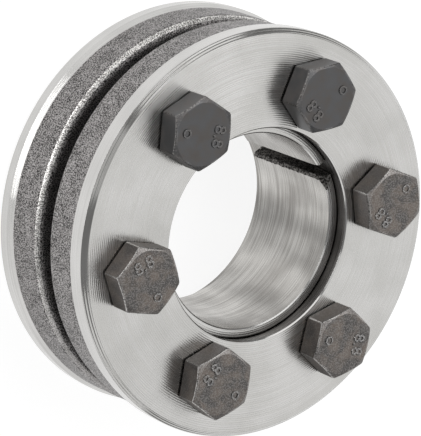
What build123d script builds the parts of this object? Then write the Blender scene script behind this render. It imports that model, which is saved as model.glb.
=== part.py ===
"""Shrink disc, 24 mm bore: two clamping rings squeezed over a slit double-cone inner ring by six bolts."""
from build123d import *
import math
import os

# Whole disc. Millimetres; the axis is Z and the rear face lies on z = 0.
bore_diameter = 24.0
overall_width = 18.4
gap_width = 2.7

# Clamping rings. The outer faces look away from each other across the gap.
ring_section = 12.0
face_chamfer = 0.6
raw_step = 0.43
draft_deg = 0.5
rear_band_width = 1.37
rear_shoulder_length = 0.8
rear_gap_edge_radius = 1.1
rear_gap_edge_facets = 2
front_band_width = 2.13
front_shoulder_length = 0.43
front_gap_edge_radius = 0.3
front_gap_edge_facets = 1
ring_bore_chamfer = 0.16
taper_deg = 6.0

# Inner ring.
end_wall = 1.0
end_inset = 1.95
middle_land = 1.5
bore_edge_chamfer = 0.15
slit_width = 2.0
slit_azimuth_deg = 22.3
cone_clearance = 0.07

# Bolts, M5 with hexagon head.
bolt_section_share = 5 / 12
bolt_count = 6
thread_diameter = 5.0
thread_clearance = 0.03
front_hole_clearance = 0.25
tapped_hole_chamfer = 0.35
bolt_end_inset = 2.4
bolt_end_chamfer = 0.6
across_flats = 7.8
head_height = 3.35
head_chamfer_deg = 30.0
head_top_share = 1.04
# Azimuth of one corner of each head, in bolt order.
head_corner_deg = (31.0, 58.8, 18.8, 41.4, 13.5, 9.3)

ring_bore_diameter = bore_diameter + 2 * end_wall
outside_diameter = ring_bore_diameter + 2 * ring_section
bolt_circle_diameter = ring_bore_diameter + 2 * bolt_section_share * ring_section
ring_thickness = (overall_width - gap_width) / 2
bolt_length = overall_width - bolt_end_inset
taper = math.tan(math.radians(taper_deg))


def revolved(points):
    """Solid of revolution about Z from (radius, height) points."""
    face = make_face(Polyline(*[(r, 0, z) for r, z in points], close=True))
    return revolve(face, Axis.Z)


def cone_radius(depth):
    """Radius of a clamping ring's tapered bore at this depth below its outer face."""
    return ring_bore_diameter / 2 + depth * taper


def bolt_place(index):
    """Position of one bolt's axis in the XY plane."""
    angle = math.radians(360.0 / bolt_count * index)
    return bolt_circle_diameter / 2 * math.cos(angle), bolt_circle_diameter / 2 * math.sin(angle)


def ring_blank(band_width, shoulder_length, gap_edge_radius, gap_edge_facets):
    """Clamping ring without bolt holes, its outer face down on z = 0."""
    outer = outside_diameter / 2
    band_end = face_chamfer + band_width
    raw_start = outer - raw_step
    raw_length = ring_thickness - band_end - shoulder_length
    raw_end = raw_start - raw_length * math.tan(math.radians(draft_deg))
    rounding = []
    for step in range(gap_edge_facets + 1):
        angle = math.radians(90.0 * step / gap_edge_facets)
        rounding.append((
            raw_end - gap_edge_radius + gap_edge_radius * math.cos(angle),
            ring_thickness - gap_edge_radius + gap_edge_radius * math.sin(angle),
        ))
    return revolved([
        (cone_radius(0) + ring_bore_chamfer, 0),
        (outer - face_chamfer, 0),
        (outer, face_chamfer),
        (outer, band_end),
        (raw_start, band_end + shoulder_length),
        *rounding,
        (cone_radius(ring_thickness), ring_thickness),
        (cone_radius(ring_bore_chamfer), ring_bore_chamfer),
    ])


def bolt_hole(diameter, chamfer):
    """Cutter for a through hole, chamfered where it opens in the outer face if the chamfer isn't 0."""
    radius = diameter / 2
    mouth = [(radius + chamfer, 0), (radius, chamfer)] if chamfer else [(radius, 0)]
    return revolved([(0, 0), *mouth, (radius, ring_thickness), (0, ring_thickness)])


def drilled_ring(blank, hole_diameter, chamfer):
    """Clamping ring with its bolt holes, outer face down on z = 0."""
    ring = blank
    for index in range(bolt_count):
        x, y = bolt_place(index)
        ring -= Pos(x, y, 0) * bolt_hole(hole_diameter, chamfer)
    return ring


def rear_clamping_ring():
    """Ring the bolts screw into."""
    blank = ring_blank(rear_band_width, rear_shoulder_length, rear_gap_edge_radius, rear_gap_edge_facets)
    return drilled_ring(blank, thread_diameter + 2 * thread_clearance, tapped_hole_chamfer)


def front_clamping_ring():
    """Ring under the bolt heads, with plain holes."""
    blank = ring_blank(front_band_width, front_shoulder_length, front_gap_edge_radius, front_gap_edge_facets)
    ring = drilled_ring(blank, thread_diameter + 2 * front_hole_clearance, 0)
    return Pos(0, 0, overall_width) * Rot(180, 0, 0) * ring


def inner_ring():
    """Slit ring with a plain bore and two cones that meet at a narrow middle land."""
    low = end_inset
    high = overall_width - low
    bore = bore_diameter / 2
    land_low = overall_width / 2 - middle_land / 2
    land_high = overall_width / 2 + middle_land / 2
    end_radius = cone_radius(low) - cone_clearance
    land_radius = cone_radius(land_low) - cone_clearance
    ring = revolved([
        (bore + bore_edge_chamfer, low),
        (end_radius, low),
        (land_radius, land_low),
        (land_radius, land_high),
        (end_radius, high),
        (bore + bore_edge_chamfer, high),
        (bore, high - bore_edge_chamfer),
        (bore, low + bore_edge_chamfer),
    ])
    cutter = Box(outside_diameter / 2, slit_width, overall_width)
    slit = Pos(outside_diameter / 4, 0, overall_width / 2) * cutter
    return ring - Rot(0, 0, slit_azimuth_deg) * slit


def hex_bolt():
    """Bolt on the origin, the bearing face of its head on z = 0."""
    corner = across_flats / math.sqrt(3)
    top = head_top_share * across_flats / 2
    drop = (corner - top) * math.tan(math.radians(head_chamfer_deg))
    head = extrude(RegularPolygon(corner, 6), head_height)
    edge = [(corner, 0), (corner, head_height - drop), (top, head_height)]
    head &= revolved([(0, 0), *edge, (0, head_height)])
    radius = thread_diameter / 2
    shank = revolved([
        (0, 0),
        (radius, 0),
        (radius, bolt_end_chamfer - bolt_length),
        (radius - bolt_end_chamfer, -bolt_length),
        (0, -bolt_length),
    ])
    return head + shank


def placed_bolt(index):
    """One bolt in its hole, its head turned to its own angle."""
    x, y = bolt_place(index)
    return Pos(x, y, overall_width) * Rot(0, 0, head_corner_deg[index]) * hex_bolt()


def main():
    """Write one STEP file for each piece."""
    os.makedirs("parts", exist_ok=True)
    export_step(rear_clamping_ring(), "parts/rear_clamping_ring.step")
    export_step(front_clamping_ring(), "parts/front_clamping_ring.step")
    export_step(inner_ring(), "parts/inner_ring.step")
    for index in range(bolt_count):
        export_step(placed_bolt(index), f"parts/bolt_{index + 1}.step")


main()
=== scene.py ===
"""Looks of a shrink disc: two turned clamping rings, a slit inner ring and six black bolts."""
import logging
import math
from dataclasses import dataclass
from enum import IntEnum
from typing import Any, Iterable, Optional, Sequence, Union

import bmesh
import bpy
from mathutils import Euler, Matrix, Vector
from mathutils.noise import noise as noise_value


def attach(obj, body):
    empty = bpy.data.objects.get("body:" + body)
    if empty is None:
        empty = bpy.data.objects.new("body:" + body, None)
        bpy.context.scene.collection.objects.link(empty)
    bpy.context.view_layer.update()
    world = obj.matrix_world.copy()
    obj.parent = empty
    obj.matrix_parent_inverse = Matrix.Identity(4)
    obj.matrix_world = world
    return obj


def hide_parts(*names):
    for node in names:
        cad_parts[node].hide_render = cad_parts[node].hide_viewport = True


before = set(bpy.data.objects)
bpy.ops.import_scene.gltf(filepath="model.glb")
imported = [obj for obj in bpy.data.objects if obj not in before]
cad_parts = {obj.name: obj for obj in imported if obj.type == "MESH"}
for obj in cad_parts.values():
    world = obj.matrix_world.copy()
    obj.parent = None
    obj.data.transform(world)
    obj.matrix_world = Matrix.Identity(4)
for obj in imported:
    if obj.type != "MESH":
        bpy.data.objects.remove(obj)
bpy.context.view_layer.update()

LOG = logging.getLogger("shrink_disc")
MM = 0.001
UV_NAME = "turned"
WHITE = (1.0, 1.0, 1.0, 1.0)
BLACK = (0.0, 0.0, 0.0, 1.0)
# Most of a noise texture lies between these values.
NOISE_LOW, NOISE_HIGH = 0.3, 0.7
RING_SEGMENTS = 360
HOLE_SEGMENTS = 64
# Edges that turn by more than this stay sharp.
RING_SHARP_DEG = 32.0
BOLT_SHARP_DEG = 14.0

Colour = tuple[float, float, float, float]
Point = tuple[float, float]
ProfilePoint = tuple[float, float, int]
Material = bpy.types.Material
Object = bpy.types.Object
Socket = bpy.types.NodeSocket
Tree = bpy.types.NodeTree


class Skin(IntEnum):
    """Material slot of each kind of surface on a ring. The inner ring has its slit for a hole."""

    FACE = 0
    CHAMFER = 1
    BAND = 2
    FORGED = 3
    RIDGE = 4
    BORE = 5
    TAPER = 6
    SHOULDER = 7
    HOLE = 8


class HeadSkin(IntEnum):
    """Material slot of each kind of surface on a bolt."""

    OXIDE = 0
    WEAR_AND_HIGHLIGHT = 1
    THREAD = 2
    MARK = 3
    FLAT = 4
    CHAMFER = 5


def linear(hex_colour: str) -> Colour:
    """Turns an sRGB hex colour into the linear values that a shader takes.

    Args:
        hex_colour: Six hex digits, such as "c8c6c2".

    Returns:
        Red, green, blue and an alpha of 1.
    """
    parts = [int(hex_colour[i : i + 2], 16) / 255 for i in (0, 2, 4)]
    return (*[c / 12.92 if c <= 0.04045 else ((c + 0.055) / 1.055) ** 2.4 for c in parts], 1.0)


def per_metre(size_mm: float) -> float:
    """Scale of a noise whose blotches are about this wide."""
    return 1 / (size_mm * MM)


def add_node(
    tree: Tree, kind: str, inputs: Optional[dict[Any, Any]] = None, **settings: Any
) -> bpy.types.Node:
    """Adds a node, with its settings, its values and the links into it.

    Args:
        tree: Node tree that gets the node.
        kind: Node type without its "ShaderNode" beginning.
        inputs: Socket name or number to a value, or to the output socket that feeds it.
        **settings: Properties of the node.

    Returns:
        The new node.
    """
    node = tree.nodes.new("ShaderNode" + kind)
    for key, value in settings.items():
        setattr(node, key, value)
    for key, value in (inputs or {}).items():
        if isinstance(value, Socket):
            tree.links.new(value, node.inputs[key])
        else:
            node.inputs[key].default_value = value
    return node


def new_material(name: str) -> tuple[Material, Tree]:
    """Makes an empty node material.

    Args:
        name: Name of the finish.

    Returns:
        The material and its node tree.
    """
    material = bpy.data.materials.new(name)
    material.use_nodes = True
    material.node_tree.nodes.clear()
    return material, material.node_tree


def fade(
    tree: Tree, value: Socket, span: Point, first: Union[Colour, Socket], last: Union[Colour, Socket]
) -> Socket:
    """Fades from one colour to another as a value rises.

    Args:
        tree: Node tree that gets the nodes.
        value: Value that drives the fade.
        span: Values at which the fade starts and ends.
        first: Colour at the start.
        last: Colour at the end.

    Returns:
        The faded colour.
    """
    reach = {"Value": value, "From Min": span[0], "From Max": span[1]}
    share = add_node(tree, "MapRange", reach).outputs[0]
    return add_node(tree, "Mix", {0: share, 6: first, 7: last}, data_type="RGBA").outputs[2]


def round_the_turn(tree: Tree, uv: Socket, per_turn: float, per_mm: float, shift_deg: float = 0.0) -> Socket:
    """Noise coordinates on a turned surface that meet where the turn closes.

    Args:
        tree: Node tree that gets the nodes.
        uv: Turn from 0 to 1, and length along the profile in millimetres.
        per_turn: Blotches in one turn.
        per_mm: Blotches in a millimetre along the profile.
        shift_deg: Turns the pattern round the axis.

    Returns:
        The coordinates.
    """
    parts = add_node(tree, "SeparateXYZ", {0: uv})
    angle = add_node(
        tree, "Math",
        {0: parts.outputs["X"], 1: 2 * math.pi, 2: -math.radians(shift_deg)},
        operation="MULTIPLY_ADD",
    ).outputs[0]
    cosine, sine = (
        add_node(tree, "Math", {0: angle}, operation=kind).outputs[0] for kind in ("COSINE", "SINE")
    )
    where = add_node(tree, "CombineXYZ", {"X": cosine, "Y": sine, "Z": parts.outputs["Y"]})
    reach = per_turn / (2 * math.pi)
    return add_node(
        tree, "VectorMath", {0: where.outputs[0], 1: (reach, reach, per_mm)}, operation="MULTIPLY"
    ).outputs[0]


def end_metal(tree: Tree, inputs: dict[str, Any]) -> None:
    """Ends the node tree of a metal with its shader.

    Args:
        tree: Node tree that gets the nodes.
        inputs: Values and output sockets for the shader.
    """
    shader = add_node(tree, "BsdfPrincipled", {"Metallic": 1.0, **inputs})
    add_node(tree, "OutputMaterial", {"Surface": shader.outputs[0]})


@dataclass(frozen=True)
class TurnedSteel:
    """Turned steel: the tool leaves one groove for each turn, so gloss smears across the grooves.

    The eye gets a light, slightly warm grey with fine concentric lines. The real feed of about
    0.05 mm is too fine to show in the render, so the lines are drawn coarser.
    """

    name: str
    light: str = "cccbc9"
    dark: str = "bebdba"
    roughness: float = 0.3
    rough_swing: float = 0.05
    feed_mm: float = 0.26
    groove_mm: float = 0.006
    ruled: float = 0.7
    drifts_per_turn: float = 9.0
    cloud_mm: float = 6.0
    tone_span: Point = (0.15, 0.36)
    anisotropy: float = 0.6
    # Painted shade in darker streaks along the axis: its strength, its shift round the turn and its size.
    shade_streak: float = 0.0
    shade_streak_at_deg: float = 0.0
    shade_streaks_per_turn: float = 12.0
    shade_streaks_per_mm: float = 0.03

    def build(self) -> Material:
        """Makes the material.

        Returns:
            The material.
        """
        material, tree = new_material(self.name)
        place = add_node(tree, "TexCoord").outputs["Object"]
        uv = add_node(tree, "UVMap", uv_map=UV_NAME).outputs["UV"]
        along = add_node(tree, "SeparateXYZ", {0: uv}).outputs["Y"]
        # A line's depth drifts round the turn, so the grooves don't look ruled.
        drift = round_the_turn(tree, uv, self.drifts_per_turn, 1.0 / self.feed_mm)
        lines = add_node(tree, "TexNoise", {"Vector": drift, "Scale": 1.0, "Detail": 3.0}).outputs["Fac"]
        phase = add_node(
            tree, "Math", {0: along, 1: 2 * math.pi / self.feed_mm}, operation="MULTIPLY"
        ).outputs[0]
        wave = add_node(tree, "Math", {0: phase}, operation="SINE").outputs[0]
        cut = add_node(tree, "Math", {0: wave, 1: self.ruled, 2: lines}, operation="MULTIPLY_ADD").outputs[0]
        cloud = add_node(
            tree, "TexNoise", {"Vector": place, "Scale": per_metre(self.cloud_mm), "Detail": 2.0}
        ).outputs["Fac"]
        tone = add_node(tree, "Math", {0: lines, 1: cloud}, operation="MULTIPLY").outputs[0]
        colour = fade(tree, tone, self.tone_span, linear(self.dark), linear(self.light))
        # Painted shade: darker streaks along the axis.
        if self.shade_streak:
            colour = self.shade_streaked(tree, uv, colour)
        rough = add_node(tree, "MapRange", {
            "Value": lines, "From Min": NOISE_LOW, "From Max": NOISE_HIGH,
            "To Min": self.roughness - self.rough_swing, "To Max": self.roughness + self.rough_swing,
        }).outputs[0]
        bump = add_node(tree, "Bump", {"Height": cut, "Distance": self.groove_mm * MM}).outputs[0]
        tangent = add_node(tree, "Tangent", direction_type="UV_MAP", uv_map=UV_NAME).outputs[0]
        # The rotation of a quarter turn lays the smear of the gloss across the grooves.
        end_metal(tree, {
            "Base Color": colour, "Roughness": rough, "Normal": bump,
            "Anisotropic": self.anisotropy, "Anisotropic Rotation": 0.25, "Tangent": tangent,
        })
        return material

    def shade_streaked(self, tree: Tree, uv: Socket, colour: Socket) -> Socket:
        """Darkens a colour with painted shade in wide streaks along the axis.

        Args:
            tree: Node tree that gets the nodes.
            uv: Turn from 0 to 1, and length along the profile in millimetres.
            colour: Colour without the painted shade.

        Returns:
            The colour with the painted shade.
        """
        wide = round_the_turn(tree, uv, self.shade_streaks_per_turn, self.shade_streaks_per_mm, self.shade_streak_at_deg)
        shade_noise = add_node(tree, "TexNoise", {"Vector": wide, "Scale": 1.0, "Detail": 2.0}).outputs["Fac"]
        share = add_node(tree, "MapRange", {
            "Value": shade_noise, "From Min": NOISE_LOW, "From Max": NOISE_HIGH,
            "To Min": self.shade_streak, "To Max": 0.0,
        }).outputs[0]
        return add_node(tree, "Mix", {0: share, 6: colour, 7: BLACK}, data_type="RGBA").outputs[2]


@dataclass(frozen=True)
class ForgedSkin:
    """Hot forged steel, blasted clean: a grainy dark grey with small light and dark specks.

    A painted highlight colour may be given for the light specks, and it fades out towards -Y.
    """

    name: str
    light: str = "b3b0af"
    dark: str = "363433"
    roughness: float = 0.48
    rough_swing: float = 0.08
    grain_mm: float = 0.14
    depth_mm: float = 0.045
    blotch_mm: float = 1.6
    blotch_share: float = 0.15
    lumps_mm: float = 0.05
    speck_span: Point = (0.52, 0.64)
    # Colour of a painted highlight on the lit side, and the span of Y over which it fades in.
    rubbed: Optional[str] = None
    highlight_span_mm: Point = (-12.0, 4.0)

    def build(self) -> Material:
        """Makes the material.

        Returns:
            The material.
        """
        material, tree = new_material(self.name)
        place = add_node(tree, "TexCoord").outputs["Object"]
        grain, blotch = (
            add_node(
                tree, "TexNoise", {"Vector": place, "Scale": per_metre(size), "Detail": detail}
            ).outputs["Fac"]
            for size, detail in ((self.grain_mm, 2.0), (self.blotch_mm, 3.0))
        )
        specks = add_node(
            tree, "Math", {0: blotch, 1: self.blotch_share, 2: grain}, operation="MULTIPLY_ADD"
        ).outputs[0]
        light = linear(self.light)
        # Painted highlight: the light specks turn nearly white towards +Y.
        if self.rubbed:
            side = add_node(tree, "SeparateXYZ", {0: place}).outputs["Y"]
            start, end = self.highlight_span_mm
            light = fade(tree, side, (start * MM, end * MM), light, linear(self.rubbed))
        colour = fade(tree, specks, self.speck_span, linear(self.dark), light)
        rough = add_node(tree, "MapRange", {
            "Value": grain, "From Min": NOISE_LOW, "From Max": NOISE_HIGH,
            "To Min": self.roughness - self.rough_swing, "To Max": self.roughness + self.rough_swing,
        }).outputs[0]
        lumps = add_node(tree, "Bump", {"Height": blotch, "Distance": self.lumps_mm * MM}).outputs[0]
        bump = add_node(tree, "Bump", {
            "Height": grain, "Distance": self.depth_mm * MM, "Normal": lumps,
        }).outputs[0]
        end_metal(tree, {"Base Color": colour, "Roughness": rough, "Normal": bump})
        return material


@dataclass(frozen=True)
class BlackOxide:
    """Black oxide on steel: a dark skin, brown where it is thin and steel where it is rubbed."""

    name: str
    dark: str = "5b5b5c"
    brown: str = "605d5b"
    steel: str = "a8a5a2"
    rubbed: float = 0.0
    roughness: float = 0.42
    rough_swing: float = 0.06
    gloss_span: Point = (0.35, 0.65)
    cloud_mm: float = 1.8
    tinge_span: Point = (0.42, 0.62)
    grain_mm: float = 0.16
    depth_mm: float = 0.008
    wear_span: Point = (0.62, 0.72)
    wear_reach: float = 0.3

    def build(self) -> Material:
        """Makes the material.

        Returns:
            The material.
        """
        material, tree = new_material(self.name)
        place = add_node(tree, "TexCoord").outputs["Object"]
        cloud, grain = (
            add_node(
                tree, "TexNoise", {"Vector": place, "Scale": per_metre(size), "Detail": detail}
            ).outputs["Fac"]
            for size, detail in ((self.cloud_mm, 4.0), (self.grain_mm, 3.0))
        )
        base = fade(tree, cloud, self.tinge_span, linear(self.dark), linear(self.brown))
        # The more it is rubbed, the more grains are bare and the barer they are. Below a sixth,
        # no steel shows.
        wear_and_highlight = add_node(tree, "MapRange", {
            "Value": grain,
            "From Min": self.wear_span[0] - self.wear_reach * self.rubbed,
            "From Max": self.wear_span[1] - self.wear_reach * self.rubbed,
            "To Min": 0.0, "To Max": max(0.0, 1.2 * self.rubbed - 0.2),
        }).outputs[0]
        colour = add_node(tree, "Mix", {0: wear_and_highlight, 6: base, 7: linear(self.steel)}, data_type="RGBA").outputs[2]
        rough = add_node(tree, "MapRange", {
            "Value": cloud, "From Min": self.gloss_span[0], "From Max": self.gloss_span[1],
            "To Min": self.roughness - self.rough_swing, "To Max": self.roughness + self.rough_swing,
        }).outputs[0]
        bump = add_node(tree, "Bump", {"Height": grain, "Distance": self.depth_mm * MM}).outputs[0]
        end_metal(tree, {"Base Color": colour, "Roughness": rough, "Normal": bump})
        return material


@dataclass(frozen=True)
class WhiteFloor:
    """Matt painted studio floor, under the object's soft shadow.

    It glows up to white for the camera and in reflections. The glow lights no matt surface.
    """

    name: str
    paint: str = "949494"
    glow: float = 0.86

    def build(self) -> Material:
        """Makes the material.

        Returns:
            The material.
        """
        material, tree = new_material(self.name)
        path = add_node(tree, "LightPath").outputs
        seen = path["Is Camera Ray"]
        for kind in ("Is Glossy Ray", "Is Transmission Ray"):
            seen = add_node(tree, "Math", {0: seen, 1: path[kind]}, operation="MAXIMUM").outputs[0]
        strength = add_node(tree, "Math", {0: seen, 1: self.glow}, operation="MULTIPLY").outputs[0]
        matt = add_node(tree, "BsdfDiffuse", {"Color": linear(self.paint)}).outputs[0]
        glow = add_node(tree, "Emission", {"Color": WHITE, "Strength": strength}).outputs[0]
        both = add_node(tree, "AddShader", {0: matt, 1: glow}).outputs[0]
        add_node(tree, "OutputMaterial", {"Surface": both})
        return material


@dataclass(frozen=True)
class Corner:
    """Corner of a turned profile, in millimetres, with its rounding and the skin after it.

    A rounding may have a skin of its own in its middle.
    """

    r: float
    z: float
    skin: int
    rounding: float = 0.0
    turn_skin: Optional[int] = None


def rounded(corners: Sequence[Corner], steps: int) -> list[ProfilePoint]:
    """Rounds the corners of a closed profile.

    Args:
        corners: Corners in order round the section.
        steps: Short facets in each rounding.

    Returns:
        Radius, height and the skin of the stretch that starts there, for each point.
    """
    straight = math.radians(89)
    # The middle skin covers this share of the rounding, where the rear ridge's painted highlight sits.
    turn_from, turn_to = 0.2, 0.6
    points = []
    for index, corner in enumerate(corners):
        here = Vector((corner.r, corner.z))
        before, after = corners[index - 1], corners[(index + 1) % len(corners)]
        to_before = (Vector((before.r, before.z)) - here).normalized()
        to_after = (Vector((after.r, after.z)) - here).normalized()
        half = to_before.angle(to_after) / 2
        if corner.rounding <= 0 or half > straight:
            points.append((here.x, here.y, corner.skin))
            continue
        reach = corner.rounding / math.tan(half)
        centre = here + (to_before + to_after).normalized() * (corner.rounding / math.sin(half))
        start, end = here + to_before * reach - centre, here + to_after * reach - centre
        sweep = start.angle_signed(end)
        for step in range(steps + 1):
            turn = -sweep * step / steps
            spot = centre + Matrix.Rotation(turn, 2) @ start
            skin = before.skin if step < steps / 2 else corner.skin
            if corner.turn_skin is not None and turn_from < step / steps < turn_to:
                skin = corner.turn_skin
            points.append((spot.x, spot.y, skin))
    return points


def mesh_object(
    name: str, points: Iterable[Sequence[float]], faces: Sequence[Sequence[int]],
    materials: Sequence[Material], skins: Sequence[int] = (),
) -> Object:
    """Makes an object and links it to the scene.

    Args:
        name: Object name.
        points: Corners in millimetres.
        faces: Numbers of the corners of each face.
        materials: Materials in slot order.
        skins: Slot of each face, or nothing where all are in the first.

    Returns:
        The new object.
    """
    mesh = bpy.data.meshes.new(name)
    mesh.from_pydata([Vector(p) * MM for p in points], [], faces)
    for material in materials:
        mesh.materials.append(material)
    for polygon, skin in zip(mesh.polygons, skins):
        polygon.material_index = skin
    obj = bpy.data.objects.new(name, mesh)
    bpy.context.scene.collection.objects.link(obj)
    return obj


def lathe(name: str, profile: Sequence[ProfilePoint], materials: Sequence[Material], segments: int) -> Object:
    """Turns a closed profile round Z.

    The UV map holds the turn from 0 to 1 and the length along the profile in millimetres.

    Args:
        name: Object name.
        profile: Radius, height and skin of each point.
        materials: Materials in slot order.
        segments: Facets round the turn.

    Returns:
        The new object, with its faces turned outwards.
    """
    count = len(profile)
    angles = [2 * math.pi * k / segments for k in range(segments)]
    points = [(r * math.cos(a), r * math.sin(a), z) for r, z, _ in profile for a in angles]
    lengths = [0.0]
    for (r0, z0, _), (r1, z1, _) in zip(profile, [*profile[1:], profile[0]]):
        lengths.append(lengths[-1] + math.hypot(r1 - r0, z1 - z0))
    faces, skins, uvs = [], [], []
    for i in range(count):
        row, next_row = i * segments, (i + 1) % count * segments
        for k in range(segments):
            k2 = (k + 1) % segments
            faces.append((row + k, row + k2, next_row + k2, next_row + k))
            skins.append(profile[i][2])
            u0, u1 = k / segments, (k + 1) / segments
            uvs += [(u0, lengths[i]), (u1, lengths[i]), (u1, lengths[i + 1]), (u0, lengths[i + 1])]
    obj = mesh_object(name, points, faces, materials, skins)
    layer = obj.data.uv_layers.new(name=UV_NAME)
    for loop, uv in zip(layer.data, uvs):
        loop.uv = uv
    face_out(obj)
    return obj


def face_out(obj: Object) -> None:
    """Turns every face of a closed mesh outwards.

    Args:
        obj: Object with the mesh.
    """
    mesh = bmesh.new()
    mesh.from_mesh(obj.data)
    bmesh.ops.recalc_face_normals(mesh, faces=mesh.faces)
    mesh.to_mesh(obj.data)
    mesh.free()


def cut_away(obj: Object, cutters: Sequence[Object]) -> None:
    """Cuts closed meshes out of an object and deletes the cutters.

    Args:
        obj: Object that is cut.
        cutters: Closed meshes to take away from it.
    """
    for cutter in cutters:
        modifier = obj.modifiers.new("cut", "BOOLEAN")
        modifier.operation = "DIFFERENCE"
        modifier.solver = "EXACT"
        modifier.object = cutter
    graph = bpy.context.evaluated_depsgraph_get()
    cut = bpy.data.meshes.new_from_object(obj.evaluated_get(graph))
    obj.modifiers.clear()
    old = obj.data
    obj.data = cut
    cut.name = obj.name
    bpy.data.meshes.remove(old)
    for cutter in cutters:
        bpy.data.objects.remove(cutter)


def join(target: Object, others: Sequence[Object]) -> None:
    """Adds the meshes of other objects to one object and deletes them.

    Args:
        target: Object that gets the meshes.
        others: Objects with the same material slots.
    """
    mesh = bmesh.new()
    mesh.from_mesh(target.data)
    for other in others:
        mesh.from_mesh(other.data)
        bpy.data.objects.remove(other)
    mesh.to_mesh(target.data)
    mesh.free()


def smooth(obj: Object, sharp_deg: float) -> None:
    """Gives an object smooth shading that keeps sharp edges and flat faces.

    Args:
        obj: The object.
        sharp_deg: Edges that turn by more than this stay sharp.
    """
    obj.data.shade_smooth()
    obj.data.set_sharp_from_angle(angle=math.radians(sharp_deg))
    modifier = obj.modifiers.new("weighted", "WEIGHTED_NORMAL")
    modifier.keep_sharp = True
    # A weight of 100 lets the largest faces rule, so that they stay flat.
    modifier.weight = 100


def settle(obj: Object, body: str, node: str) -> None:
    """Hands a finished piece to the frame.

    Args:
        obj: The piece.
        body: Body that it rides on.
        node: Node of the solid model that it stands for.
    """
    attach(obj, body)
    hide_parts(node)
    LOG.info("%s: %d faces on %s", obj.name, len(obj.data.polygons), body)


# Finishes of a clamping ring in Skin order, and what each gives the eye.
RING_FINISHES = (
    # Faced in the lathe: light grey with fine rings, and a glare that fans out from the axis.
    TurnedSteel("face_turned_steel", roughness=0.27, anisotropy=0.55),
    # Cut with a coarser feed: bold lines that glint one by one.
    TurnedSteel(
        "rough_turned_steel_chamfer", light="c0bfbd", dark="afaeab", feed_mm=0.34, groove_mm=0.007,
        ruled=1.0, roughness=0.16, anisotropy=0.2,
    ),
    # Fine turned: bright and nearly smooth, so it mirrors the pale room.
    TurnedSteel(
        "turned_steel_band", light="d0cfcd", dark="c5c4c2", roughness=0.2, feed_mm=0.15,
        groove_mm=0.001, ruled=0.25, anisotropy=0.4,
    ),
    # Blasted scale: dull dark grey with pepper-and-salt specks.
    ForgedSkin("blasted_forged_steel"),
    # Rounded forged edge beside the gap, with a painted highlight: lighter specks that are nearly white on
    # the lit side.
    ForgedSkin(
        "forged_steel_edge_with_painted_highlight", dark="7b7977", rubbed="fbf9f6", roughness=0.36,
        depth_mm=0.022, lumps_mm=0.09,
    ),
    # Bored to size: fine rings, with painted shade in soft dark and light streaks along the axis.
    TurnedSteel(
        "fine_turned_bore_steel", light="dbd9d5", dark="a5a29e", roughness=0.25, feed_mm=0.19,
        groove_mm=0.003, ruled=0.35, anisotropy=0.5, shade_streak=0.52, shade_streak_at_deg=300.0,
    ),
    # Turned cone under grease, darkened further as painted shade of the recess: a dark, wet grey with faint
    # rings.
    TurnedSteel(
        "greased_steel_taper_with_painted_shade", light="7c7977", dark="4e4c4a", roughness=0.26, feed_mm=0.2,
        groove_mm=0.002, anisotropy=0.3,
    ),
    # Left by the tool as it ran out: the smoothest cut, with a hard bright glint.
    TurnedSteel(
        "turned_steel_shoulder", light="cdccca", dark="bdbcba", roughness=0.12, feed_mm=0.15,
        groove_mm=0.001, ruled=0.25, anisotropy=0.1,
    ),
    # Drilled: dull grey, with coarse rings down the hole.
    TurnedSteel(
        "drilled_steel_hole", light="8a8886", dark="5c5a58", roughness=0.4, feed_mm=0.3,
        groove_mm=0.002, anisotropy=0.3,
    ),
)
# Sawn slit of the inner ring: nearly black, rough and torn, with few light specks.
SAWN_SLIT = ForgedSkin(
    "sawn_steel_slit", light="8c8986", dark="2a2927", roughness=0.55, grain_mm=0.22, depth_mm=0.05
)
# Finishes of an evenly blackened bolt, in HeadSkin order.
PLAIN_BOLT_FINISHES = (
    # Thick black oxide: an even satin charcoal.
    BlackOxide("black_oxide_bolt_steel"),
    # Edge rubbed in places, partly painted highlight: a broken grey line.
    BlackOxide("scuffed_black_oxide_edge_with_painted_highlight", rubbed=0.62, roughness=0.34),
    # Rolled thread under untouched oxide: the darkest, a plain satin black.
    BlackOxide("black_oxide_rolled_thread", dark="444445", brown="4d4743"),
    # Raised marks that were hardly touched, partly painted highlight: faint grey glints.
    BlackOxide("scuffed_raised_oxide_mark_with_painted_highlight", rubbed=0.4, roughness=0.28),
    # Flats rubbed by a spanner, and painted paler for the light that they catch: a paler, dusty charcoal.
    BlackOxide(
        "spanner_rubbed_oxide_flat_painted_paler", dark="6d6d6e", brown="757271", rubbed=0.15, roughness=0.48
    ),
    # Chamfer scuffed by tools, partly painted highlight: paler than the top, with a few specks.
    BlackOxide(
        "scuffed_oxide_chamfer_with_painted_highlight", dark="6d6d6e", brown="757271", steel="b8b5b2", rubbed=0.36,
        roughness=0.4,
    ),
)
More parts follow.
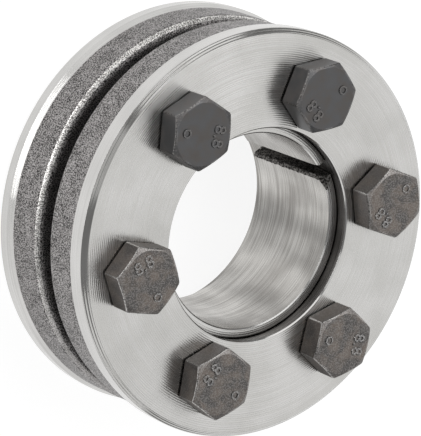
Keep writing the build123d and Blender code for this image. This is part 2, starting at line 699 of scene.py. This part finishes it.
# Finishes of a bolt tinged with brown, in HeadSkin order but for its thread, which is the same.
TINGED_BOLT_FINISHES = (
    # Thin black oxide: charcoal that clouds over to brown, with specks of steel.
    BlackOxide("brown_tinged_oxide_bolt_steel", dark="555352", brown="776f69", rubbed=0.47),
    # Edge rubbed nearly bare, partly painted highlight: a thin bright line of steel.
    BlackOxide("rubbed_black_oxide_edge_with_painted_highlight", steel="cdcac7", rubbed=0.8, roughness=0.3),
    # Raised marks with rubbed tops, partly painted highlight: broken glints of steel.
    BlackOxide("rubbed_raised_oxide_mark_with_painted_highlight", steel="c9c6c3", rubbed=0.56, roughness=0.28),
    # Flats rubbed by a spanner, and painted paler for the light that they catch: a dusty grey-brown.
    BlackOxide(
        "spanner_rubbed_brown_oxide_flat_painted_paler", dark="706c6a", brown="7d7671", rubbed=0.42,
        roughness=0.48,
    ),
    # Chamfer rubbed through thin oxide, partly painted highlight: a pale grey-brown full of specks.
    BlackOxide(
        "rubbed_brown_oxide_chamfer_with_painted_highlight", dark="7f7b79", brown="8b847f", steel="c6c3c0", rubbed=0.54,
        roughness=0.38,
    ),
)


@dataclass(frozen=True)
class Finishes:
    """Every material of the disc, built once and held in slot order for each kind of piece."""

    ring: list[Material]
    inner: list[Material]
    plain_bolt: list[Material]
    tinged_bolt: list[Material]

    @classmethod
    def build(cls) -> "Finishes":
        """Makes the materials.

        Returns:
            The finishes.
        """
        ring = [finish.build() for finish in RING_FINISHES]
        plain = [finish.build() for finish in PLAIN_BOLT_FINISHES]
        tinged = [finish.build() for finish in TINGED_BOLT_FINISHES]
        tinged.insert(HeadSkin.THREAD, plain[HeadSkin.THREAD])
        return cls(ring, [*ring[: Skin.HOLE], SAWN_SLIT.build()], plain, tinged)


@dataclass(frozen=True)
class DiscSizes:
    """Sizes that the pieces share, in millimetres."""

    width: float = 18.4
    bore: float = 12.0
    outer: float = 25.0
    ring_thickness: float = 7.85
    ring_bore: float = 13.0
    taper_deg: float = 6.0
    bolt_circle: float = 18.0
    bolt_count: int = 6

    def cone(self, depth: float) -> float:
        """Radius of the tapered bore at a depth below a ring's outer face."""
        return self.ring_bore + depth * math.tan(math.radians(self.taper_deg))

    def bolt_spot(self, index: int) -> Point:
        """Place of a bolt's axis."""
        angle = 2 * math.pi * index / self.bolt_count
        return self.bolt_circle * math.cos(angle), self.bolt_circle * math.sin(angle)


@dataclass
class ClampingRing:
    """One clamping ring, turned on its outer face and band and left as forged beside the gap."""

    sizes: DiscSizes
    finishes: Finishes
    name: str
    body: str
    node: str
    hole_radius: float
    mouth_chamfer: float
    band_width: float
    shoulder: float
    gap_rounding: float
    front: bool = False
    face_chamfer: float = 0.6
    bore_chamfer: float = 0.16
    raw_step: float = 0.43
    draft_deg: float = 0.5
    edge_rounding: float = 0.06
    bore_rounding: float = 0.05
    raw_rounding: float = 0.3
    gap_bore_rounding: float = 0.15
    rounding_steps: int = 8

    def profile(self) -> list[ProfilePoint]:
        """Section of the ring with its outer face at depth 0.

        Returns:
            Radius, height and skin of each point.
        """
        s, soft = self.sizes, self.edge_rounding
        band_end = self.face_chamfer + self.band_width
        raw_start = s.outer - self.raw_step
        raw_length = s.ring_thickness - band_end - self.shoulder
        raw_end = raw_start - raw_length * math.tan(math.radians(self.draft_deg))
        # Only the rear ring's ridge has a painted highlight, and only the front ring's cone is dark, with
        # grease and with painted shade of its recess.
        ridge = None if self.front else Skin.RIDGE
        cone = Skin.TAPER if self.front else Skin.BORE
        corners = [
            Corner(s.cone(0) + self.bore_chamfer, 0, Skin.FACE, self.bore_rounding),
            Corner(s.outer - self.face_chamfer, 0, Skin.CHAMFER, soft),
            Corner(s.outer, self.face_chamfer, Skin.BAND, soft),
            Corner(s.outer, band_end, Skin.SHOULDER, soft),
            Corner(raw_start, band_end + self.shoulder, Skin.FORGED, self.raw_rounding),
            Corner(raw_end, s.ring_thickness, Skin.FORGED, self.gap_rounding, ridge),
            Corner(s.cone(s.ring_thickness), s.ring_thickness, cone, self.gap_bore_rounding),
            Corner(s.cone(self.bore_chamfer), self.bore_chamfer, Skin.SHOULDER, self.bore_rounding),
        ]
        return rounded(corners, self.rounding_steps)

    def hole_cutter(self, index: int) -> Object:
        """Makes the cutter for one bolt hole, with its mouth opened a little at the outer face.

        Args:
            index: Number of the bolt from 0.

        Returns:
            The cutter.
        """
        r, c, t = self.hole_radius, self.mouth_chamfer, self.sizes.ring_thickness
        core, spare = 0.01, 1.0
        section = [(core, -spare), (r + c + spare, -spare), (r, c), (r, t + spare), (core, t + spare)]
        profile = [(radius, z, Skin.HOLE) for radius, z in section]
        obj = lathe(f"cutter_{index}", profile, self.finishes.ring, HOLE_SEGMENTS)
        x, y = self.sizes.bolt_spot(index)
        obj.data.transform(Matrix.Translation((x * MM, y * MM, 0)))
        return obj

    def build(self) -> Object:
        """Builds the ring, places it and hands it over.

        Returns:
            The ring.
        """
        obj = lathe(self.name, self.profile(), self.finishes.ring, RING_SEGMENTS)
        cut_away(obj, [self.hole_cutter(i) for i in range(self.sizes.bolt_count)])
        if self.front:
            lift = Matrix.Translation((0, 0, self.sizes.width * MM))
            obj.data.transform(lift @ Matrix.Rotation(math.pi, 4, "X"))
        smooth(obj, RING_SHARP_DEG)
        settle(obj, self.body, self.node)
        return obj


@dataclass
class InnerRing:
    """Slit inner ring with two cones on its outside."""

    sizes: DiscSizes
    finishes: Finishes
    end_inset: float = 1.95
    middle_land: float = 1.5
    bore_chamfer: float = 0.15
    clearance: float = 0.07
    bore_rounding: float = 0.05
    lip_rounding: float = 0.03
    end_rounding: float = 0.12
    land_rounding: float = 0.2
    rounding_steps: int = 4
    slit_width: float = 2.0
    slit_azimuth_deg: float = 22.3
    slit_steps: int = 70
    clean_lip: float = 0.05
    torn_lip: float = 0.26

    def profile(self) -> list[ProfilePoint]:
        """Section of the ring.

        Returns:
            Radius, height and skin of each point.
        """
        s = self.sizes
        low, high = self.end_inset, s.width - self.end_inset
        middle, half_land = s.width / 2, self.middle_land / 2
        land = s.cone(middle - half_land) - self.clearance
        end = s.cone(low) - self.clearance
        chamfer, soft = self.bore_chamfer, self.bore_rounding
        corners = [
            Corner(s.bore + chamfer, low, Skin.FACE, soft),
            Corner(end, low, Skin.TAPER, self.end_rounding),
            Corner(land, middle - half_land, Skin.TAPER, self.land_rounding),
            Corner(land, middle + half_land, Skin.TAPER, self.land_rounding),
            Corner(end, high, Skin.FACE, self.end_rounding),
            Corner(s.bore + chamfer, high, Skin.BAND, self.lip_rounding),
            Corner(s.bore, high - chamfer, Skin.BORE, soft),
            Corner(s.bore, low + chamfer, Skin.BAND, soft),
        ]
        return rounded(corners, self.rounding_steps)

    def slit_section(self, z: float) -> list[Point]:
        """Section of the slit cutter at one height.

        The saw tore the lower edge of the slit at the bore, most at the front end, and left the
        upper one nearly clean.

        Args:
            z: Height above the rear face.

        Returns:
            Corners of the section, with the slit along X.
        """
        half, bore, outer = self.slit_width / 2, self.sizes.bore, self.sizes.outer
        front = self.sizes.width - self.end_inset
        # Tears about 0.4 mm and 0.14 mm long, mixed.
        coarse = noise_value(Vector((z * 2.3, 0.0, 4.0)))
        fine = noise_value(Vector((z * 7.1, 3.0, 9.0)))
        ragged = 0.5 * (coarse + fine)
        # Both lips open out over about the last millimetre before the front end.
        torn = self.torn_lip * (1.0 + 0.9 * ragged) + max(0.0, 0.9 * (z - front + 1.1))
        clean = self.clean_lip + max(0.0, 0.3 * (z - front + 0.5))
        return [
            (bore - torn, -half - 2.2 * torn), (bore - clean, half + 2 * clean),
            (bore + clean, half), (outer, half), (outer, -half), (bore + torn, -half),
        ]

    def slit_cutter(self) -> Object:
        """Makes the bar that cuts the slit.

        Returns:
            The cutter.
        """
        steps, spare = self.slit_steps, 1.0
        low = self.end_inset - spare
        high = self.sizes.width - self.end_inset + spare
        heights = [low + (high - low) * step / steps for step in range(steps + 1)]
        points = [(x, y, z) for z in heights for x, y in self.slit_section(z)]
        count = len(self.slit_section(low))
        faces = [tuple(range(count)), tuple(range(steps * count, (steps + 1) * count))]
        for row in range(0, steps * count, count):
            for k in range(count):
                k2 = (k + 1) % count
                faces.append((row + k, row + k2, row + count + k2, row + count + k))
        skins = [Skin.HOLE] * len(faces)
        obj = mesh_object("slit_cutter", points, faces, self.finishes.inner, skins)
        obj.data.uv_layers.new(name=UV_NAME)
        obj.data.transform(Matrix.Rotation(math.radians(self.slit_azimuth_deg), 4, "Z"))
        face_out(obj)
        return obj

    def build(self) -> Object:
        """Builds the ring and hands it over.

        Returns:
            The ring.
        """
        obj = lathe("slit_inner_ring", self.profile(), self.finishes.inner, RING_SEGMENTS)
        cut_away(obj, [self.slit_cutter()])
        smooth(obj, RING_SHARP_DEG)
        settle(obj, "inner_ring", "inner_ring")
        return obj


@dataclass
class HexBolt:
    """M5 bolt with a hexagon head and a rolled thread up to the head."""

    sizes: DiscSizes
    finishes: Finishes
    index: int
    corner_deg: float
    mark_deg: float
    dot_deg: float
    tinged: bool
    across_flats: float = 7.8
    head_height: float = 3.24
    bearing_height: float = 0.2
    bearing_radius: float = 3.6
    top_share: float = 0.965
    chamfer_deg: float = 23.0
    corner_rounding: float = 0.12
    edge_rounding: float = 0.1
    foot_rounding: float = 0.12
    corner_wear_and_highlight_deg: float = 1.3
    mark_height: float = 0.11
    mark_size: float = 2.3
    mark_radius: float = 2.15
    dot_radius: float = 2.35
    dot_steps: int = 20
    thread_radius: float = 2.5
    thread_depth: float = 0.49
    thread_steps: int = 48
    pitch: float = 0.8
    length: float = 16.0
    end_chamfer: float = 0.6

    def slots(self) -> list[Material]:
        """Materials of this bolt, in HeadSkin order."""
        return self.finishes.tinged_bolt if self.tinged else self.finishes.plain_bolt

    @staticmethod
    def from_corner(angle: float) -> float:
        """Angle from the nearest corner of the hexagon."""
        return (angle + math.pi / 6) % (math.pi / 3) - math.pi / 6

    def hex_radius(self, angle: float) -> float:
        """Distance from the axis to the head's side, with the corners rounded off.

        Args:
            angle: Direction in radians, from a corner.

        Returns:
            The distance.
        """
        flat = self.across_flats / 2 / math.cos(math.pi / 6 - abs(self.from_corner(angle)))
        corner = self.across_flats / math.sqrt(3) - self.corner_rounding * 0.5
        return min(flat, corner)

    @staticmethod
    def head_angles() -> list[float]:
        """Angles round the head, denser at the corners.

        Returns:
            The angles in radians, in order.
        """
        near = (0.0, 0.6, 1.2, 2.0, 3.0, 5.0, 9.0, 15.0, 22.0, 30.0)
        offsets = sorted({round(s * a, 3) for a in near for s in (-1, 1)} - {-30.0})
        return [math.radians(60 * k + a) for k in range(6) for a in offsets]

    def head_rows(self, angle: float) -> list[Point]:
        """Points down one meridian of the head, from the flat top to the bearing face.

        Args:
            angle: Direction in radians, from a corner.

        Returns:
            Radius and height of each point.
        """
        side, circle = self.hex_radius(angle), self.top_share * self.across_flats / 2
        slope = math.tan(math.radians(self.chamfer_deg))
        soft, foot, turn = self.edge_rounding, self.bearing_height, self.foot_rounding
        neck = self.thread_radius - 0.3

        def fall(radius: float) -> float:
            """Height of the flat top or of the corner chamfer."""
            return self.head_height - max(0.0, radius - circle) * slope

        return [
            (min(circle, side - 2.5 * soft), self.head_height),
            *[(side - share * soft, fall(side - share * soft)) for share in (2.0, 1.0)],
            (side - 0.3 * soft, fall(side - 0.3 * soft) - 0.3 * soft),
            (side, fall(side) - soft),
            (side, foot + turn),
            (side - turn / 4, foot + turn / 4),
            (side - turn, foot),
            (self.bearing_radius, foot),
            (self.bearing_radius, 0.0),
            (neck, 0.0),
        ]

    def head(self) -> Object:
        """Builds the head, with its rubbed edges, partly painted highlight, in their own material.

        Returns:
            The head.
        """
        angles = self.head_angles()
        columns = [self.head_rows(a) for a in angles]
        rows, count = len(columns[0]), len(angles)
        points = [
            (columns[k][i][0] * math.cos(a), columns[k][i][0] * math.sin(a), columns[k][i][1])
            for i in range(rows) for k, a in enumerate(angles)
        ]
        # Skins down a meridian: the chamfer, the rounded edge under it, then the side.
        chamfer, wear_and_highlight, side_row = HeadSkin.CHAMFER, HeadSkin.WEAR_AND_HIGHLIGHT, 4
        down = {0: chamfer, 1: chamfer, 2: wear_and_highlight, 3: wear_and_highlight, side_row: HeadSkin.FLAT}
        faces, skins = [], []
        for i in range(rows - 1):
            row, next_row = i * count, (i + 1) * count
            for k in range(count):
                k2 = (k + 1) % count
                faces.append((row + k, next_row + k, next_row + k2, row + k2))
                middle = angles[k] + (angles[k2] - angles[k]) % (2 * math.pi) / 2
                # The rounded corner strips take the edge finish: wear, partly painted highlight.
                at_corner = abs(self.from_corner(middle)) < math.radians(self.corner_wear_and_highlight_deg)
                skin = wear_and_highlight if at_corner and i == side_row else down.get(i, HeadSkin.OXIDE)
                skins.append(skin)
        faces.append(tuple(range(count - 1, -1, -1)))
        faces.append(tuple((rows - 1) * count + k for k in range(count)))
        skins += [HeadSkin.OXIDE] * 2
        name = f"hex_bolt_{self.index + 1}"
        obj = mesh_object(name, points, faces, self.slots(), skins)
        face_out(obj)
        return obj

    def thread(self) -> Object:
        """Builds the shank with a helical thread, chamfered at its end.

        Returns:
            The shank.
        """
        # Share of the pitch and height of each corner of the thread's section.
        crest = [(0.0, -self.thread_depth), (0.1, -self.thread_depth), (0.5, 0.0), (0.6, 0.0)]
        pitches = int(self.length / self.pitch) + 2
        rows = [(k + share, drop) for k in range(pitches) for share, drop in crest]
        steps, count = self.thread_steps, len(rows)
        points = []
        for step in range(steps + 1):
            share = step / steps
            angle = 2 * math.pi * share
            for at, drop in rows:
                z = (at + share) * self.pitch - self.length - self.pitch
                z = min(max(z, -self.length), 0.0)
                limit = self.thread_radius - self.end_chamfer + (z + self.length)
                radius = min(self.thread_radius + drop, limit)
                points.append((radius * math.cos(angle), radius * math.sin(angle), z))
        faces = [
            (t * count + i, (t + 1) * count + i, (t + 1) * count + i + 1, t * count + i + 1)
            for t in range(steps) for i in range(count - 1)
        ]
        obj = mesh_object("thread", points, faces, self.slots())
        self.close_thread(obj)
        return obj

    @staticmethod
    def close_thread(obj: Object) -> None:
        """Welds the seam of the helix and closes its two ends.

        Args:
            obj: Open sheet of the thread.
        """
        mesh = bmesh.new()
        mesh.from_mesh(obj.data)
        bmesh.ops.remove_doubles(mesh, verts=mesh.verts, dist=0.002 * MM)
        bmesh.ops.dissolve_degenerate(mesh, edges=mesh.edges, dist=0.001 * MM)
        bmesh.ops.holes_fill(mesh, edges=[e for e in mesh.edges if e.is_boundary], sides=0)
        bmesh.ops.recalc_face_normals(mesh, faces=mesh.faces)
        mesh.to_mesh(obj.data)
        mesh.free()
        for polygon in obj.data.polygons:
            polygon.material_index = HeadSkin.THREAD

    def class_mark(self) -> Object:
        """Builds the plain raised number near one side of the top, its foot towards the rim.

        Returns:
            The number.
        """
        curve = bpy.data.curves.new("class_mark", "FONT")
        curve.body, curve.align_x, curve.align_y = "8.8", "CENTER", "CENTER"
        curve.size, curve.resolution_u, curve.bevel_resolution = self.mark_size * MM, 2, 1
        curve.extrude = curve.bevel_depth = self.mark_height / 2 * MM
        source = bpy.data.objects.new("class_mark", curve)
        bpy.context.scene.collection.objects.link(source)
        graph = bpy.context.evaluated_depsgraph_get()
        mesh = bpy.data.meshes.new_from_object(source.evaluated_get(graph))
        bpy.data.objects.remove(source)
        mesh.materials.clear()
        for material in self.slots():
            mesh.materials.append(material)
        for polygon in mesh.polygons:
            polygon.material_index = HeadSkin.MARK
        obj = bpy.data.objects.new("class_mark", mesh)
        bpy.context.scene.collection.objects.link(obj)
        upright = Matrix.Rotation(-math.pi / 2, 4, "Z")
        mesh.transform(self.on_top(self.mark_deg, self.mark_radius) @ upright)
        return obj

    def dot_mark(self) -> Object:
        """Builds the plain raised ring near another side of the top.

        Returns:
            The ring.
        """
        steps, high = self.dot_steps, self.mark_height
        # Radius and height of each corner of the ring's section.
        section = [(0.62, -high), (0.56, high), (0.36, high), (0.3, -high)]
        count = len(section)
        angles = [2 * math.pi * k / steps for k in range(steps)]
        points = [(r * math.cos(a), r * math.sin(a), z) for r, z in section for a in angles]
        faces = []
        for i in range(count):
            row, next_row = i * steps, (i + 1) % count * steps
            for k in range(steps):
                k2 = (k + 1) % steps
                faces.append((row + k, row + k2, next_row + k2, next_row + k))
        skins = [HeadSkin.MARK] * len(faces)
        obj = mesh_object("dot_mark", points, faces, self.slots(), skins)
        obj.data.transform(self.on_top(self.dot_deg, self.dot_radius))
        face_out(obj)
        return obj

    def on_top(self, azimuth_deg: float, radius: float) -> Matrix:
        """Place of a mark on the top of the head, in the turned frame of the head.

        Args:
            azimuth_deg: Direction of the mark from the bolt's axis.
            radius: Its distance from the axis.

        Returns:
            The place, with X pointing outwards.
        """
        turn = math.radians(azimuth_deg - self.corner_deg)
        x, y = radius * math.cos(turn) * MM, radius * math.sin(turn) * MM
        at = Matrix.Translation((x, y, self.head_height * MM))
        return at @ Matrix.Rotation(turn, 4, "Z")

    def build(self) -> Object:
        """Builds the bolt, places it in its hole and hands it over.

        Returns:
            The bolt.
        """
        obj = self.head()
        join(obj, [self.thread(), self.class_mark(), self.dot_mark()])
        x, y = self.sizes.bolt_spot(self.index)
        at = Matrix.Translation((x * MM, y * MM, self.sizes.width * MM))
        obj.data.transform(at @ Matrix.Rotation(math.radians(self.corner_deg), 4, "Z"))
        smooth(obj, BOLT_SHARP_DEG)
        settle(obj, f"bolt_{self.index + 1}", f"bolt_{self.index + 1}")
        return obj


@dataclass(frozen=True)
class SoftBox:
    """Studio lamp a metre away: its direction, the angles that it fills, and its brightness."""

    name: str
    azimuth_deg: float
    elevation_deg: float
    width_deg: float
    height_deg: float
    brightness: float

    def build(self, target: Vector) -> None:
        """Hangs the lamp and points it at the object.

        Args:
            target: Place that it points at, in metres.
        """
        turn, rise = math.radians(self.azimuth_deg), math.radians(self.elevation_deg)
        across, high = math.radians(self.width_deg / 2), math.radians(self.height_deg / 2)
        data = bpy.data.lights.new(self.name, "AREA")
        data.shape = "RECTANGLE"
        data.size, data.size_y = 2 * math.tan(across), 2 * math.tan(high)
        data.energy = self.brightness * math.pi * data.size * data.size_y
        obj = bpy.data.objects.new(self.name, data)
        flat = math.cos(rise)
        way = Vector((flat * math.cos(turn), flat * math.sin(turn), math.sin(rise)))
        obj.location = target + way
        obj.rotation_euler = (-way).to_track_quat("-Z", "Y").to_euler()
        bpy.context.scene.collection.objects.link(obj)


@dataclass(frozen=True)
class Studio:
    """Camera, floor, lamps and the grey of the room."""

    room: str = "8c8c8c"
    lens_mm: float = 276.4
    sensor_mm: float = 36.0
    clip_m: Point = (0.01, 20.0)
    camera_mm: tuple[float, float, float] = (-214.36, 134.36, 325.03)
    camera_deg: tuple[float, float, float] = (-16.425, -35.481, -5.203)
    floor_half_mm: float = 3000.0
    lamp_target_m: tuple[float, float, float] = (0.0, 0.0, 0.01)

    def camera(self) -> None:
        """Makes the camera that looks down on the disc as the photograph does."""
        data = bpy.data.cameras.new("camera")
        data.lens = self.lens_mm
        data.sensor_width = self.sensor_mm
        data.clip_start, data.clip_end = self.clip_m
        obj = bpy.data.objects.new("camera", data)
        obj.location = Vector(self.camera_mm) * MM
        obj.rotation_euler = Euler([math.radians(a) for a in self.camera_deg], "XYZ")
        bpy.context.scene.collection.objects.link(obj)
        bpy.context.scene.camera = obj

    def floor(self) -> None:
        """Lays the floor under the disc."""
        half = self.floor_half_mm
        points = [(-half, -half, 0), (half, -half, 0), (half, half, 0), (-half, half, 0)]
        paint = WhiteFloor("matt_white_floor").build()
        obj = mesh_object("floor", points, [(0, 1, 2, 3)], [paint])

    def world(self) -> None:
        """Fills the room with an even grey."""
        world = bpy.data.worlds.new("room")
        world.use_nodes = True
        tree = world.node_tree
        tree.nodes.clear()
        grey = {"Color": linear(self.room)}
        add_node(tree, "OutputWorld", {"Surface": add_node(tree, "Background", grey).outputs[0]})
        bpy.context.scene.world = world

    def lamps(self) -> None:
        """Hangs the lamps."""
        # Azimuth, elevation, width and height in degrees, then brightness.
        for box in (
            SoftBox("key_softbox", -23, 47, 46, 46, 0.8),
            SoftBox("top_softbox", 84, 29, 54, 22, 1.12),
            SoftBox("side_softbox", 233, 17, 58, 24, 0.9),
            SoftBox("front_softbox", 142, 38, 30, 26, 0.6),
            SoftBox("corner_softbox", 48, 54, 46, 24, 1.4),
            SoftBox("overhead_softbox", -32, 88, 44, 44, 0.44),
            SoftBox("low_strip", 143, 5.6, 60, 11, 4.2),
        ):
            box.build(Vector(self.lamp_target_m))

    def build(self) -> None:
        """Sets up the studio."""
        self.camera()
        self.floor()
        self.world()
        self.lamps()
        bpy.context.scene.view_settings.view_transform = "Standard"


def main() -> None:
    """Builds the studio and every piece of the disc."""
    logging.basicConfig(level=logging.INFO, format="%(message)s")
    Studio().build()
    sizes, finishes = DiscSizes(), Finishes.build()
    ClampingRing(
        sizes, finishes, "rear_ring_turned", "rear_ring", "rear_clamping_ring",
        hole_radius=2.53, mouth_chamfer=0.35, band_width=1.37, shoulder=0.8, gap_rounding=1.1,
    ).build()
    ClampingRing(
        sizes, finishes, "front_ring_turned", "front_ring", "front_clamping_ring",
        hole_radius=2.75, mouth_chamfer=0.0, band_width=2.13, shoulder=0.43, gap_rounding=0.3,
        front=True,
    ).build()
    InnerRing(sizes, finishes).build()
    # For each bolt: the azimuths of one corner, of its number and of its ring, and its tinge.
    turned_by = (
        (31.0, -144.0, 38.0, True), (58.8, -150.0, 11.0, False), (18.8, -21.0, 164.0, False),
        (41.4, 107.0, -69.0, True), (13.5, 130.0, -49.0, True), (9.3, -19.0, 154.0, True),
    )
    for index, (corner_deg, mark_deg, dot_deg, tinged) in enumerate(turned_by):
        HexBolt(sizes, finishes, index, corner_deg, mark_deg, dot_deg, tinged).build()


if __name__ == "__main__":
    main()
